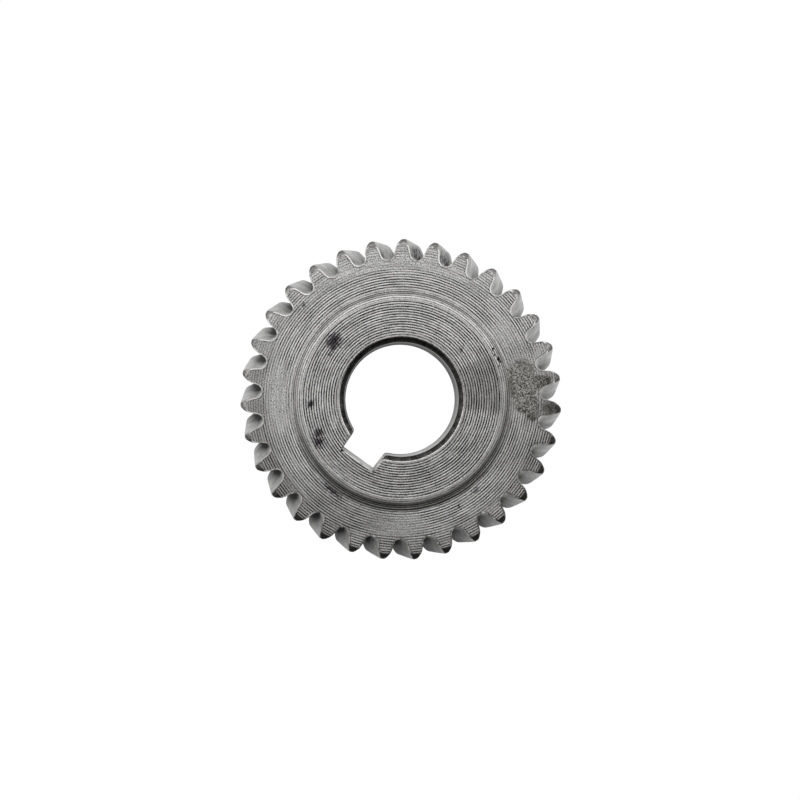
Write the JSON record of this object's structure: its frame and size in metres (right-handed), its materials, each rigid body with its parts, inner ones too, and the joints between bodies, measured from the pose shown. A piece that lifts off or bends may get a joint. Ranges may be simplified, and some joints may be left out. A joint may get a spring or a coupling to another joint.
{
  "type": "helical pinion gear",
  "caption": "Helical pinion gear with a round keyed bore, chamfered tooth ends and a raised hub face on each side.",
  "frame": {"origin": "centre of the bore, halfway through the gear's width", "axes": "+Z along the bore axis, towards the front hub face; +Y from the axis to the middle of the keyway"},
  "size_m": [0.0422, 0.0422, 0.0104],
  "materials": {
    "turned_steel": "finely turned end faces, smooth cut tooth flanks, dull grey with light stains"
  },
  "bodies": {
    "root": {"pinion_gear": "turned_steel"}
  },
  "joints": []
}
